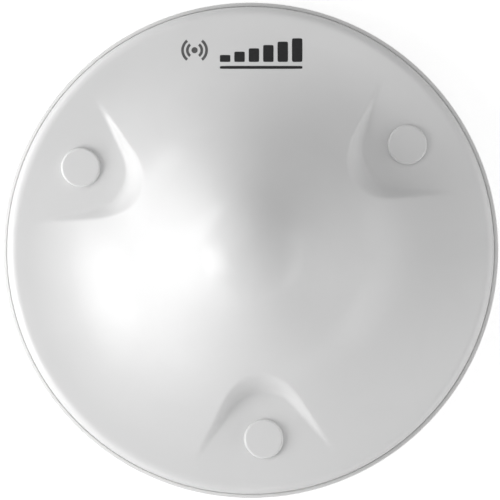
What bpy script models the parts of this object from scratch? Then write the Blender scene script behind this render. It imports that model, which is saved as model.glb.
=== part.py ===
"""Indoor ceiling dome antenna of a cellular signal booster kit.

Frame: metres. The origin is the centre of the face that lies against the ceiling, and +Z
points out of that face through the nose of the dome. The three screw caps stand at 30, 150
and 270 degrees. The coaxial jack points along -Z, through the hole in the ceiling.
"""

import math

import bmesh
import bpy
from mathutils import Matrix, Vector

MM = 0.001
GAP = 0.3 * MM
OVERLAP = 0.5 * MM
WELD = 1e-5
TURN_STEPS = 64
COLLECTION = "ceiling_dome_antenna"
STATIONS = (30, 150, 270)
BETWEEN = (90, 210, 330)

# Base plate
BASE_R = 93.0 * MM
BASE_T = 3.0 * MM
CUP_R = 18.0 * MM
CUP_TOP = 8.2 * MM
NUT_RECESS_R = 15.0 * MM
NUT_RECESS_DEPTH = 5.2 * MM
RING_INNER_R = 86.8 * MM
RING_OUTER_R = 88.4 * MM
RING_TOP = 9.0 * MM
RIB_T = 1.6 * MM
RIB_TOP = 6.5 * MM
POST_R = 3.6 * MM
POST_CIRCLE_R = 50.0 * MM

# Radome: nose sphere, cone and flare, then a flat brim
WALL = 2.5 * MM
BRIM_Z = 15.0 * MM
CONE_ANGLE = math.radians(50.0)
NOSE_R = 21.0 * MM
CONE_R = 41.0 * MM
FLARE_R = 83.0 * MM
RADOME_R = 91.4 * MM
RADOME_EDGE_R = 3.4 * MM
RADOME_BOTTOM = BASE_T + GAP
DRAFT = 0.2 * MM
NOSE_SPHERE = NOSE_R / math.sin(CONE_ANGLE)
FLARE_ARC = (FLARE_R - CONE_R) / math.sin(CONE_ANGLE)
CONE_FOOT_Z = BRIM_Z + FLARE_ARC * (1.0 - math.cos(CONE_ANGLE))
CONE_HEAD_Z = CONE_FOOT_Z + (CONE_R - NOSE_R) * math.tan(CONE_ANGLE)
NOSE_CENTRE_Z = CONE_HEAD_Z - NOSE_SPHERE * math.cos(CONE_ANGLE)
NOSE_Z = NOSE_CENTRE_Z + NOSE_SPHERE

# Arch-shaped pockets around the screw caps
CAP_CIRCLE_R = 70.8 * MM
POCKET_CIRCLE_R = 68.1 * MM
POCKET_R = 15.9 * MM
POCKET_HALF_ANGLE = math.radians(39.0)
POCKET_DRAFT = math.radians(21.0)
POCKET_FLOOR_Z = BRIM_Z + 0.02 * MM
POCKET_HEIGHT = 30.0 * MM
POCKET_ARM = 46.0 * MM

# Screw wells, caps and mounting screws
WELL_R = 6.0 * MM
WELL_TUBE_R = 8.5 * MM
WELL_FLOOR_Z = 6.5 * MM
WELL_BOTTOM_Z = 4.3 * MM
SCREW_HOLE_R = 2.4 * MM
CAP_R = 7.4 * MM
CAP_T = 1.8 * MM
CAP_STEM_R = 5.7 * MM
CAP_STEM_BORE_R = 4.5 * MM
CAP_STEM_LENGTH = 4.1 * MM
SCREW_SHANK_R = 2.1 * MM
SCREW_HEAD_R = 4.0 * MM
SCREW_HEAD_H = 2.8 * MM
SCREW_LENGTH = 25.4 * MM

# Ground plane and the radiator on it
PLANE_R = 84.0 * MM
PLANE_T = 1.0 * MM
PLANE_Z = CUP_TOP + GAP
PLANE_TOP = PLANE_Z + PLANE_T
PLANE_WELL_HOLE_R = 9.6 * MM
M3_R = 1.25 * MM
M3_HEAD_R = 2.8 * MM
M3_HEAD_H = 2.0 * MM
M3_HOLE_R = 1.6 * MM
PLANE_SCREW_LENGTH = 6.2 * MM
LEG_SCREW_LENGTH = 5.0 * MM
RADIATOR_FOOT_Z = 15.2 * MM
RADIATOR_FOOT_R = 3.9 * MM
RADIATOR_TOP_Z = 42.0 * MM
RADIATOR_TOP_R = 24.0 * MM
RADIATOR_WALL = 0.8 * MM
TOP_PLATE_R = 25.6 * MM
TOP_PLATE_T = 1.0 * MM
LEG_T = 1.0 * MM
LEG_WIDTH = 8.0 * MM
LEG_R = 27.4 * MM
LEG_TAB_R = 19.0 * MM
LEG_TOE_R = 38.0 * MM
TOP_RIVET_CIRCLE_R = 22.0 * MM
LEG_SCREW_CIRCLE_R = 33.5 * MM

# Coaxial jack, type N, 5/8-24 thread
JACK_R = 7.94 * MM
JACK_BORE_R = 4.05 * MM
JACK_END_Z = -19.5 * MM
JACK_FLANGE_T = 2.4 * MM
JACK_FLANGE_FLATS = 19.0 * MM
JACK_HOLE_R = 8.4 * MM
NUT_FLATS = 19.0 * MM
NUT_T = 3.2 * MM
NUT_BORE_R = JACK_R + GAP
WASHER_R = 11.2 * MM
WASHER_TOOTH_R = 9.4 * MM
WASHER_T = 0.8 * MM
INSULATOR_R = 3.75 * MM
INSULATOR_END_Z = -10.0 * MM
INSULATOR_COLLAR_R = 7.0 * MM
INSULATOR_COLLAR_T = 2.2 * MM
CONTACT_R = 1.52 * MM
CONTACT_TIP_Z = -14.7 * MM
CONTACT_BORE_R = 0.85 * MM
CONTACT_BORE_DEPTH = 5.0 * MM
CONTACT_TOP_Z = 20.5 * MM
FERRULE_R = 3.6 * MM
FERRULE_TOP_Z = 22.0 * MM


def clear_scene():
    """Remove every object, so that the script starts from an empty scene."""
    for obj in list(bpy.data.objects):
        bpy.data.objects.remove(obj, do_unlink=True)


def new_collection(name):
    """Make a collection and link it to the scene."""
    made = bpy.data.collections.new(name)
    bpy.context.scene.collection.children.link(made)
    return made


def new_material(name, colour, roughness, metallic=0.0):
    """A Principled material with one colour, roughness and metallic value."""
    made = bpy.data.materials.new(name)
    made.use_nodes = True
    shader = made.node_tree.nodes["Principled BSDF"]
    shader.inputs["Base Color"].default_value = (*colour, 1.0)
    shader.inputs["Roughness"].default_value = roughness
    shader.inputs["Metallic"].default_value = metallic
    return made


def polar(radius, degrees, z=0.0):
    """A point at a radius and an angle around the Z axis."""
    angle = math.radians(degrees)
    return Vector((radius * math.cos(angle), radius * math.sin(angle), z))


def arc(centre, radius, start, end, segments):
    """Points of an arc in a profile. Angles in radians, from the radial axis towards +Z."""
    points = []
    for i in range(segments + 1):
        angle = start + (end - start) * i / segments
        points.append((centre[0] + radius * math.cos(angle), centre[1] + radius * math.sin(angle)))
    return points


def add_object(name, mesh, collection):
    """Link a mesh to a collection as a new object."""
    obj = bpy.data.objects.new(name, mesh)
    collection.objects.link(obj)
    return obj


def mesh_from(name, build):
    """A mesh filled by a function that takes a BMesh."""
    shape = bmesh.new()
    build(shape)
    mesh = bpy.data.meshes.new(name)
    shape.to_mesh(mesh)
    shape.free()
    return mesh


def finish_part(obj, material):
    """Give a part its material and smooth shading with sharp edges."""
    obj.data.materials.clear()
    obj.data.materials.append(material)
    obj.data.shade_smooth()
    obj.data.set_sharp_from_angle(angle=math.radians(30.0))


def turned(name, profile, collection, steps=48, ring=False):
    """A turned solid. The profile runs down the outer side; a ring's profile is a closed loop."""
    def build(shape):
        verts = [shape.verts.new((r, 0.0, z)) for r, z in profile]
        for first, second in zip(verts, verts[1:]):
            shape.edges.new((first, second))
        if ring:
            shape.edges.new((verts[-1], verts[0]))

    obj = add_object(name, mesh_from(name, build), collection)
    screw = obj.modifiers.new("turn", "SCREW")
    screw.axis = "Z"
    screw.steps = steps
    screw.render_steps = steps
    screw.use_merge_vertices = True
    screw.merge_threshold = WELD
    return obj


def cylinder(name, radius, low, high, collection, place=(0.0, 0.0), segments=32):
    """A plain upright cylinder between two heights."""
    def build(shape):
        bmesh.ops.create_cone(
            shape, cap_ends=True, segments=segments, radius1=radius, radius2=radius, depth=high - low
        )

    obj = add_object(name, mesh_from(name, build), collection)
    obj.location = (place[0], place[1], (low + high) / 2.0)
    return obj


def hexagon(name, flats, low, high, collection):
    """A hexagonal prism, measured across its flats."""
    return cylinder(name, flats / math.sqrt(3.0), low, high, collection, segments=6)


def box(name, size, centre, collection, degrees=0.0):
    """A box turned about Z, with its centre given before the turn."""
    def build(shape):
        bmesh.ops.create_cube(shape, size=1.0)
        bmesh.ops.scale(shape, vec=Vector(size), verts=shape.verts)

    obj = add_object(name, mesh_from(name, build), collection)
    turn = Matrix.Rotation(math.radians(degrees), 3, "Z")
    obj.location = turn @ Vector(centre)
    obj.rotation_euler = (0.0, 0.0, math.radians(degrees))
    return obj


def combine(obj, other, operation):
    """Add an exact Boolean and put the other object away as a cutter."""
    boolean = obj.modifiers.new(operation.lower(), "BOOLEAN")
    boolean.operation = operation
    boolean.solver = "EXACT"
    boolean.object = other
    other.display_type = "WIRE"
    other.hide_render = True


def baked_mesh(obj, name):
    """The evaluated mesh of a template, which is then removed with its cutters."""
    bpy.context.view_layer.update()
    depsgraph = bpy.context.evaluated_depsgraph_get()
    mesh = bpy.data.meshes.new_from_object(obj.evaluated_get(depsgraph))
    mesh.name = name
    for modifier in list(obj.modifiers):
        if modifier.type == "BOOLEAN":
            bpy.data.objects.remove(modifier.object, do_unlink=True)
    bpy.data.objects.remove(obj, do_unlink=True)
    return mesh


def radome_profile(inset, arc_segments, edge_segments):
    """The dome's outline from the axis to the side wall, moved inwards by a wall thickness."""
    nose = arc(
        (0.0, NOSE_CENTRE_Z), NOSE_SPHERE - inset, math.pi / 2.0, math.pi / 2.0 - CONE_ANGLE, arc_segments
    )
    nose[0] = (0.0, nose[0][1])
    flare = arc(
        (FLARE_R, BRIM_Z + FLARE_ARC),
        FLARE_ARC + inset,
        -math.pi / 2.0 - CONE_ANGLE,
        -math.pi / 2.0,
        arc_segments + 2,
    )
    edge_centre = (RADOME_R - RADOME_EDGE_R - DRAFT, BRIM_Z - RADOME_EDGE_R)
    edge = arc(edge_centre, RADOME_EDGE_R - inset, math.pi / 2.0, 0.0, edge_segments)
    return nose + flare + edge


def pocket_outline(offset, z):
    """A pocket's arch: an arc inside the screw and two straight arms that open towards the rim."""
    radius = POCKET_R + offset
    sweep_start = math.pi + (math.pi / 2.0 - POCKET_HALF_ANGLE)
    sweep_end = math.pi - (math.pi / 2.0 - POCKET_HALF_ANGLE)
    arch = arc((POCKET_CIRCLE_R, 0.0), radius, sweep_start, sweep_end, 14)
    reach = Vector((math.cos(POCKET_HALF_ANGLE), math.sin(POCKET_HALF_ANGLE))) * POCKET_ARM
    first = (arch[0][0] + reach.x, arch[0][1] - reach.y)
    last = (arch[-1][0] + reach.x, arch[-1][1] + reach.y)
    return [Vector((x, y, z)) for x, y in [first, *arch, last]]


def pocket_cutter(name, wall, collection, degrees):
    """A loft between the pocket's outline at its floor and its wider outline higher up."""
    def build(shape):
        low = [shape.verts.new(p) for p in pocket_outline(wall, POCKET_FLOOR_Z - wall)]
        spread = wall + (POCKET_HEIGHT + wall) * math.tan(POCKET_DRAFT)
        high = [shape.verts.new(p) for p in pocket_outline(spread, POCKET_FLOOR_Z + POCKET_HEIGHT)]
        shape.faces.new(low)
        shape.faces.new(list(reversed(high)))
        for i in range(len(low)):
            after = (i + 1) % len(low)
            shape.faces.new((low[after], low[i], high[i], high[after]))
        bmesh.ops.recalc_face_normals(shape, faces=shape.faces)

    obj = add_object(name, mesh_from(name, build), collection)
    obj.rotation_euler = (0.0, 0.0, math.radians(degrees))
    return obj


def make_radome(parts, cutters, material):
    """The white cover: a shell with three pockets and three screw wells."""
    outer_profile = radome_profile(0.0, 6, 4) + [(RADOME_R, RADOME_BOTTOM), (0.0, RADOME_BOTTOM)]
    radome = turned("radome", outer_profile, parts, steps=TURN_STEPS)
    below = RADOME_BOTTOM - 2.0 * MM
    inner_profile = radome_profile(WALL, 4, 2) + [(RADOME_R - WALL, below), (0.0, below)]
    cavity = turned("radome_cavity", inner_profile, cutters, steps=TURN_STEPS)
    for number, degrees in enumerate(STATIONS, start=1):
        combine(radome, pocket_cutter(f"pocket_{number}", 0.0, cutters, degrees), "DIFFERENCE")
        combine(cavity, pocket_cutter(f"pocket_back_{number}", WALL, cutters, degrees), "DIFFERENCE")
        place = polar(CAP_CIRCLE_R, degrees)
        tube = cylinder(f"well_tube_{number}", WELL_TUBE_R, WELL_BOTTOM_Z, BRIM_Z, cutters, place)
        combine(cavity, tube, "DIFFERENCE")
    combine(radome, cavity, "DIFFERENCE")
    for number, degrees in enumerate(STATIONS, start=1):
        place = polar(CAP_CIRCLE_R, degrees)
        well = cylinder(f"well_bore_{number}", WELL_R, WELL_FLOOR_Z, BRIM_Z + WALL, cutters, place)
        combine(radome, well, "DIFFERENCE")
        top = WELL_FLOOR_Z + WALL
        hole = cylinder(f"well_hole_{number}", SCREW_HOLE_R, BASE_T, top, cutters, place, 20)
        combine(radome, hole, "DIFFERENCE")
    finish_part(radome, material)


def make_base_plate(parts, cutters, material):
    """The tray against the ceiling, with its nut recess, locating ring, ribs, posts and pads."""
    bevel = 0.6 * MM
    profile = [
        (JACK_HOLE_R, CUP_TOP),
        (CUP_R, CUP_TOP),
        (CUP_R, BASE_T),
        (RING_INNER_R, BASE_T),
        (RING_INNER_R, RING_TOP),
        (RING_OUTER_R - bevel, RING_TOP),
        (RING_OUTER_R, RING_TOP - 2.0 * bevel),
        (RING_OUTER_R, BASE_T),
        (BASE_R - bevel, BASE_T),
        (BASE_R, BASE_T - bevel),
        (BASE_R, 0.0),
        (NUT_RECESS_R, 0.0),
        (NUT_RECESS_R, NUT_RECESS_DEPTH),
        (JACK_HOLE_R, NUT_RECESS_DEPTH),
    ]
    base = turned("base_plate", profile, parts, steps=TURN_STEPS, ring=True)
    low = BASE_T - OVERLAP
    rib_length = RING_INNER_R - CUP_R + 2.0 * OVERLAP
    rib_middle = (RING_INNER_R + CUP_R) / 2.0
    for number in range(6):
        rib = box(
            f"base_rib_{number + 1}",
            (rib_length, RIB_T, RIB_TOP - low),
            (rib_middle, 0.0, (RIB_TOP + low) / 2.0),
            cutters,
            60.0 * number,
        )
        combine(base, rib, "UNION")
    for number, degrees in enumerate(BETWEEN, start=1):
        place = polar(POST_CIRCLE_R, degrees)
        combine(base, cylinder(f"base_post_{number}", POST_R, low, CUP_TOP, cutters, place, 24), "UNION")
        pilot = cylinder(f"post_pilot_{number}", M3_R + GAP, BASE_T, CUP_TOP + WALL, cutters, place, 16)
        combine(base, pilot, "DIFFERENCE")
    for number, degrees in enumerate(STATIONS, start=1):
        place = polar(CAP_CIRCLE_R, degrees)
        pad_top = WELL_BOTTOM_Z - GAP
        combine(base, cylinder(f"base_pad_{number}", WELL_TUBE_R, low, pad_top, cutters, place), "UNION")
        hole = cylinder(f"base_hole_{number}", SCREW_HOLE_R, -WALL, pad_top + WALL, cutters, place, 20)
        combine(base, hole, "DIFFERENCE")
    finish_part(base, material)


def make_screw_caps(parts, material):
    """The round plugs over the mounting screws: a disc with a hollow stem."""
    bevel = 0.5 * MM
    top = CAP_T
    profile = [
        (0.0, top),
        (CAP_R - bevel, top),
        (CAP_R, top - bevel),
        (CAP_R, 0.0),
        (CAP_STEM_R, 0.0),
        (CAP_STEM_R, -CAP_STEM_LENGTH),
        (CAP_STEM_BORE_R, -CAP_STEM_LENGTH),
        (CAP_STEM_BORE_R, 0.0),
        (0.0, 0.0),
    ]
    mesh = baked_mesh(turned("cap_template", profile, parts, steps=28), "screw_cap")
    for number, degrees in enumerate(STATIONS, start=1):
        cap = add_object(f"screw_cap_{number}", mesh, parts)
        cap.location = polar(CAP_CIRCLE_R, degrees, BRIM_Z + GAP)
        finish_part(cap, material)


def pan_head_screw(name, shank_r, head_r, head_h, length, collection, cutters):
    """A pan-head screw with a cross recess. Its origin is under the head, and it points down."""
    tip = 2.2 * shank_r
    profile = [
        (0.0, head_h),
        (0.55 * head_r, 0.93 * head_h),
        (0.85 * head_r, 0.68 * head_h),
        (head_r, 0.3 * head_h),
        (head_r, 0.0),
        (shank_r, 0.0),
        (shank_r, tip - length),
        (0.0, -length),
    ]
    screw = turned(name, profile, collection, steps=16)
    for number in range(2):
        size = (1.1 * head_r, 0.24 * head_r, 1.2 * head_h)
        slot = box(f"{name}_slot_{number}", size, (0.0, 0.0, head_h), cutters, 90.0 * number)
        combine(screw, slot, "DIFFERENCE")
    return baked_mesh(screw, name)


def make_mounting_screws(parts, cutters, material):
    """The pan-head wood screws through the wells and the base plate."""
    mesh = pan_head_screw(
        "mounting_screw", SCREW_SHANK_R, SCREW_HEAD_R, SCREW_HEAD_H, SCREW_LENGTH, parts, cutters
    )
    for number, degrees in enumerate(STATIONS, start=1):
        screw = add_object(f"mounting_screw_{number}", mesh, parts)
        screw.location = polar(CAP_CIRCLE_R, degrees, WELL_FLOOR_Z + GAP)
        finish_part(screw, material)


def make_ground_plane(parts, cutters, material):
    """The aluminium disc that the radiator stands on, with holes for the wells and screws."""
    plane = cylinder("ground_plane", PLANE_R, PLANE_Z, PLANE_TOP, parts, segments=TURN_STEPS)
    low = PLANE_Z - WALL
    high = PLANE_TOP + WALL
    combine(plane, cylinder("plane_centre_hole", JACK_HOLE_R, low, high, cutters), "DIFFERENCE")
    for number, degrees in enumerate(STATIONS, start=1):
        place = polar(CAP_CIRCLE_R, degrees)
        hole = cylinder(f"plane_well_hole_{number}", PLANE_WELL_HOLE_R, low, high, cutters, place)
        combine(plane, hole, "DIFFERENCE")
    for number, degrees in enumerate(BETWEEN, start=1):
        for role, circle_r in (("post", POST_CIRCLE_R), ("leg", LEG_SCREW_CIRCLE_R)):
            place = polar(circle_r, degrees)
            hole = cylinder(f"plane_{role}_hole_{number}", M3_HOLE_R, low, high, cutters, place, 16)
            combine(plane, hole, "DIFFERENCE")
    finish_part(plane, material)


def make_radiator(parts, cutters, material):
    """The sheet-metal cone, the plate that closes it and the three legs that short it to ground."""
    rise = RADIATOR_TOP_Z - RADIATOR_FOOT_Z
    slant = math.hypot(rise, RADIATOR_TOP_R - RADIATOR_FOOT_R)
    side = RADIATOR_WALL * slant / rise
    cone_profile = [
        (RADIATOR_TOP_R, RADIATOR_TOP_Z),
        (RADIATOR_TOP_R + side, RADIATOR_TOP_Z),
        (RADIATOR_FOOT_R + side, RADIATOR_FOOT_Z),
        (RADIATOR_FOOT_R, RADIATOR_FOOT_Z),
    ]
    cone = turned("radiator_cone", cone_profile, parts, steps=48, ring=True)
    finish_part(cone, material)

    plate_low = RADIATOR_TOP_Z + GAP
    plate_high = plate_low + TOP_PLATE_T
    plate = cylinder("radiator_top_plate", TOP_PLATE_R, plate_low, plate_high, parts, segments=48)
    tab_z = plate_high + GAP + LEG_T / 2.0
    foot_z = PLANE_TOP + GAP + LEG_T / 2.0

    def build_leg(shape):
        path = [(LEG_TAB_R, tab_z), (LEG_R, tab_z), (LEG_R, foot_z), (LEG_TOE_R, foot_z)]
        left = [shape.verts.new((r, -LEG_WIDTH / 2.0, z)) for r, z in path]
        right = [shape.verts.new((r, LEG_WIDTH / 2.0, z)) for r, z in path]
        for i in range(len(path) - 1):
            shape.faces.new((left[i], left[i + 1], right[i + 1], right[i]))

    for number, degrees in enumerate(BETWEEN, start=1):
        leg = add_object(f"shorting_leg_{number}", mesh_from("shorting_leg", build_leg), parts)
        leg.rotation_euler = (0.0, 0.0, math.radians(degrees))
        sheet = leg.modifiers.new("sheet", "SOLIDIFY")
        sheet.thickness = LEG_T
        sheet.offset = 0.0
        sheet.use_even_offset = True
        top_place = polar(TOP_RIVET_CIRCLE_R, degrees)
        foot_place = polar(LEG_SCREW_CIRCLE_R, degrees)
        tab_hole = cylinder(
            f"tab_hole_{number}", M3_HOLE_R, RADIATOR_TOP_Z, tab_z + WALL, cutters, top_place, 16
        )
        combine(leg, tab_hole, "DIFFERENCE")
        combine(plate, tab_hole, "DIFFERENCE")
        toe_hole = cylinder(f"toe_hole_{number}", M3_HOLE_R, PLANE_Z, foot_z + WALL, cutters, foot_place, 16)
        combine(leg, toe_hole, "DIFFERENCE")
        finish_part(leg, material)
    finish_part(plate, material)


def make_small_fasteners(parts, cutters, steel, aluminium):
    """Screws for the ground plane and the leg feet, and rivets for the top plate."""
    plane_screw = pan_head_screw(
        "ground_plane_screw", M3_R, M3_HEAD_R, M3_HEAD_H, PLANE_SCREW_LENGTH, parts, cutters
    )
    leg_screw = pan_head_screw("leg_screw", M3_R, M3_HEAD_R, M3_HEAD_H, LEG_SCREW_LENGTH, parts, cutters)
    rivet_top = RADIATOR_TOP_Z + TOP_PLATE_T + LEG_T + 3.0 * GAP
    rivet_profile = [
        (0.0, 1.1 * MM),
        (1.2 * MM, 0.9 * MM),
        (2.3 * MM, 0.3 * MM),
        (2.3 * MM, 0.0),
        (M3_R, 0.0),
        (M3_R, -3.4 * MM),
        (0.0, -3.4 * MM),
    ]
    rivet = baked_mesh(turned("rivet_template", rivet_profile, parts, steps=16), "top_rivet")
    rows = (
        ("ground_plane_screw", plane_screw, POST_CIRCLE_R, PLANE_TOP + GAP, steel),
        ("leg_screw", leg_screw, LEG_SCREW_CIRCLE_R, PLANE_TOP + LEG_T + 2.0 * GAP, steel),
        ("top_rivet", rivet, TOP_RIVET_CIRCLE_R, rivet_top, aluminium),
    )
    for name, mesh, circle_r, z, material in rows:
        for number, degrees in enumerate(BETWEEN, start=1):
            fastener = add_object(f"{name}_{number}", mesh, parts)
            fastener.location = polar(circle_r, degrees, z)
            fastener.rotation_euler = (0.0, 0.0, math.radians(degrees))
            finish_part(fastener, material)


def make_jack_body(parts, cutters, material):
    """The threaded shell of the jack, with a hexagonal flange above the ground plane."""
    flange_low = PLANE_TOP + GAP
    flange_high = flange_low + JACK_FLANGE_T
    chamfer = 0.6 * MM
    profile = [
        (0.0, flange_low + OVERLAP),
        (JACK_R, flange_low + OVERLAP),
        (JACK_R, JACK_END_Z + chamfer),
        (JACK_R - chamfer, JACK_END_Z),
        (0.0, JACK_END_Z),
    ]
    body = turned("connector_body", profile, parts, steps=40)
    combine(body, hexagon("jack_flange", JACK_FLANGE_FLATS, flange_low, flange_high, cutters), "UNION")
    bore_profile = [
        (0.0, flange_high + WALL),
        (JACK_BORE_R, flange_high + WALL),
        (JACK_BORE_R, JACK_END_Z + 0.5 * chamfer),
        (JACK_BORE_R + chamfer, JACK_END_Z - 0.5 * chamfer),
        (0.0, JACK_END_Z - 0.5 * chamfer),
    ]
    combine(body, turned("jack_bore", bore_profile, cutters, steps=40), "DIFFERENCE")
    finish_part(body, material)


def make_jack_nut(parts, cutters, material):
    """The chamfered hexagon nut in the recess of the base plate."""
    washer_low = NUT_RECESS_DEPTH - GAP - WASHER_T
    high = washer_low - GAP
    low = high - NUT_T
    corner = NUT_FLATS / math.sqrt(3.0)
    chamfer = 0.8 * MM
    nut = hexagon("connector_hex_nut", NUT_FLATS, low, high, parts)
    profile = [
        (0.0, high + OVERLAP),
        (corner - chamfer - OVERLAP, high + OVERLAP),
        (corner + OVERLAP, high - chamfer),
        (corner + OVERLAP, low + chamfer),
        (corner - chamfer - OVERLAP, low - OVERLAP),
        (0.0, low - OVERLAP),
    ]
    combine(nut, turned("nut_chamfer", profile, cutters, steps=48), "INTERSECT")
    bore = cylinder("nut_bore", NUT_BORE_R, low - WALL, high + WALL, cutters, segments=40)
    combine(nut, bore, "DIFFERENCE")
    finish_part(nut, material)


def make_jack_washer(parts, material):
    """The internal-tooth lock washer between the base plate and the nut."""
    outline = bpy.data.curves.new("connector_lock_washer", "CURVE")
    outline.dimensions = "2D"
    outline.fill_mode = "BOTH"
    outline.extrude = WASHER_T / 2.0
    rim = [polar(WASHER_R, 360.0 * i / 48) for i in range(48)]
    teeth = []
    for tooth in range(12):
        middle = 30.0 * tooth
        teeth.append(polar(WASHER_TOOTH_R, middle - 13.0))
        teeth.append(polar(JACK_HOLE_R, middle - 8.0))
        teeth.append(polar(JACK_HOLE_R, middle + 3.0))
        teeth.append(polar(WASHER_TOOTH_R, middle + 8.0))
    for loop in (rim, teeth):
        spline = outline.splines.new("POLY")
        spline.points.add(len(loop) - 1)
        for point, place in zip(spline.points, loop):
            point.co = (place.x, place.y, 0.0, 1.0)
        spline.use_cyclic_u = True
    drawn = add_object("washer_outline", outline, parts)
    mesh = baked_mesh(drawn, "connector_lock_washer")
    shape = bmesh.new()
    shape.from_mesh(mesh)
    bmesh.ops.remove_doubles(shape, verts=shape.verts, dist=WELD)
    shape.to_mesh(mesh)
    shape.free()
    washer = add_object("connector_lock_washer", mesh, parts)
    washer.location.z = NUT_RECESS_DEPTH - GAP - WASHER_T / 2.0
    finish_part(washer, material)


def make_jack_core(parts, ptfe, gold, brass):
    """The insulator, the centre contact and the ferrule that carries the signal to the cone."""
    flange_top = PLANE_TOP + GAP + JACK_FLANGE_T
    collar_low = flange_top + GAP
    collar_high = collar_low + INSULATOR_COLLAR_T
    insulator_bore_r = CONTACT_R + GAP
    insulator_profile = [
        (insulator_bore_r, collar_high),
        (INSULATOR_COLLAR_R - GAP, collar_high),
        (INSULATOR_COLLAR_R, collar_high - GAP),
        (INSULATOR_COLLAR_R, collar_low),
        (INSULATOR_R, collar_low),
        (INSULATOR_R, INSULATOR_END_Z),
        (insulator_bore_r, INSULATOR_END_Z),
    ]
    insulator = turned("connector_insulator", insulator_profile, parts, steps=32, ring=True)
    finish_part(insulator, ptfe)

    contact_profile = [
        (0.0, CONTACT_TOP_Z),
        (CONTACT_R - GAP, CONTACT_TOP_Z),
        (CONTACT_R, CONTACT_TOP_Z - GAP),
        (CONTACT_R, CONTACT_TIP_Z + GAP),
        (CONTACT_R - GAP, CONTACT_TIP_Z),
        (CONTACT_BORE_R, CONTACT_TIP_Z),
        (CONTACT_BORE_R, CONTACT_TIP_Z + CONTACT_BORE_DEPTH),
        (0.0, CONTACT_TIP_Z + CONTACT_BORE_DEPTH + CONTACT_BORE_R),
    ]
    finish_part(turned("connector_contact", contact_profile, parts, steps=24), gold)

    ferrule_low = collar_high + GAP
    ferrule_profile = [
        (insulator_bore_r, FERRULE_TOP_Z),
        (FERRULE_R, FERRULE_TOP_Z),
        (FERRULE_R, ferrule_low),
        (insulator_bore_r, ferrule_low),
    ]
    finish_part(turned("feed_ferrule", ferrule_profile, parts, steps=32, ring=True), brass)


def main():
    """Model the antenna, piece by piece."""
    clear_scene()
    parts = new_collection(COLLECTION)
    cutters = new_collection("cutters")
    cover_white = new_material("cover_white", (0.86, 0.86, 0.85), 0.32)
    base_white = new_material("base_white", (0.83, 0.83, 0.82), 0.45)
    steel = new_material("zinc_steel", (0.62, 0.62, 0.60), 0.35, 1.0)
    aluminium = new_material("aluminium", (0.80, 0.81, 0.82), 0.35, 1.0)
    tinned_brass = new_material("tinned_brass", (0.80, 0.68, 0.38), 0.32, 1.0)
    nickel = new_material("nickel", (0.74, 0.71, 0.66), 0.22, 1.0)
    gold = new_material("gold", (0.95, 0.72, 0.32), 0.25, 1.0)
    ptfe = new_material("ptfe", (0.90, 0.90, 0.88), 0.50)

    make_radome(parts, cutters, cover_white)
    make_base_plate(parts, cutters, base_white)
    make_screw_caps(parts, cover_white)
    make_mounting_screws(parts, cutters, steel)
    make_ground_plane(parts, cutters, aluminium)
    make_radiator(parts, cutters, tinned_brass)
    make_small_fasteners(parts, cutters, steel, aluminium)
    make_jack_body(parts, cutters, nickel)
    make_jack_nut(parts, cutters, nickel)
    make_jack_washer(parts, nickel)
    make_jack_core(parts, ptfe, gold, tinned_brass)


main()
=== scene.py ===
"""Looks of the ceiling dome antenna: fine surfaces, materials, studio and camera around the CAD frame."""

import math

import bmesh
import bpy
import numpy as np
from mathutils import Matrix, Vector


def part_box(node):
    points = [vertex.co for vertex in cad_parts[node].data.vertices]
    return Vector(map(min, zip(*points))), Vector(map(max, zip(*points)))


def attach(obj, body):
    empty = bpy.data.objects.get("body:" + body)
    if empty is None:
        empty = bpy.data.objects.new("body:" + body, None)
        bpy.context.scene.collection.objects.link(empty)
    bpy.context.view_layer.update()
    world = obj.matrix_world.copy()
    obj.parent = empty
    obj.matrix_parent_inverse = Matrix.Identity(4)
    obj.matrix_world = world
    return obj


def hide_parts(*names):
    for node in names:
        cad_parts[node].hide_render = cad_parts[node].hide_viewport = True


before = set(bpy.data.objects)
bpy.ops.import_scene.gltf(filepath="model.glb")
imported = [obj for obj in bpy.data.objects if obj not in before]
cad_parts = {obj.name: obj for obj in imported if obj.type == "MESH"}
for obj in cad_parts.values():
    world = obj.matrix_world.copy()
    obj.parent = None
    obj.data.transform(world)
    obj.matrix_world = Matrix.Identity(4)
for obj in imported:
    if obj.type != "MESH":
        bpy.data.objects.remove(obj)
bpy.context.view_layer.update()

MM = 0.001
FINE_TURN = 540
TURN = 128

# The CAD model's own places
_, base_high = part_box("base_plate")
radome_low, radome_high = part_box("radome")
jack_low, jack_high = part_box("connector_body")
BASE_R = base_high.x
BASE_T = 3.0 * MM
RADOME_R = radome_high.x
NOSE_Z = radome_high.z
CAP_ANGLES = [math.radians(a) for a in (30.0, 150.0, 270.0)]
CAP_BOXES = [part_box(f"screw_cap_{n}") for n in (1, 2, 3)]
CAP_CIRCLE_R = -(CAP_BOXES[2][0].y + CAP_BOXES[2][1].y) / 2.0

# The radome's form, as in the CAD source
WALL = 2.5 * MM
CONE_ANGLE = math.radians(50.0)
NOSE_R = 21.0 * MM
CONE_R = 41.0 * MM
FLARE_R = 83.0 * MM
EDGE_R = 3.4 * MM
DRAFT = 0.2 * MM
NOSE_SPHERE = NOSE_R / math.sin(CONE_ANGLE)
FLARE_ARC = (FLARE_R - CONE_R) / math.sin(CONE_ANGLE)
NOSE_CENTRE_Z = NOSE_Z - NOSE_SPHERE
CONE_DROP = (CONE_R - NOSE_R) * math.tan(CONE_ANGLE)
FLARE_DROP = FLARE_ARC * (1.0 - math.cos(CONE_ANGLE))
BRIM_Z = NOSE_CENTRE_Z + NOSE_SPHERE * math.cos(CONE_ANGLE) - CONE_DROP - FLARE_DROP
POCKET_CIRCLE_R = 68.1 * MM
POCKET_R = 15.9 * MM
POCKET_HALF_ANGLE = math.radians(39.0)
POCKET_WALL_SLOPE = math.tan(math.radians(69.0))
POCKET_FOOT_BLEND = 1.6 * MM
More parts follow.
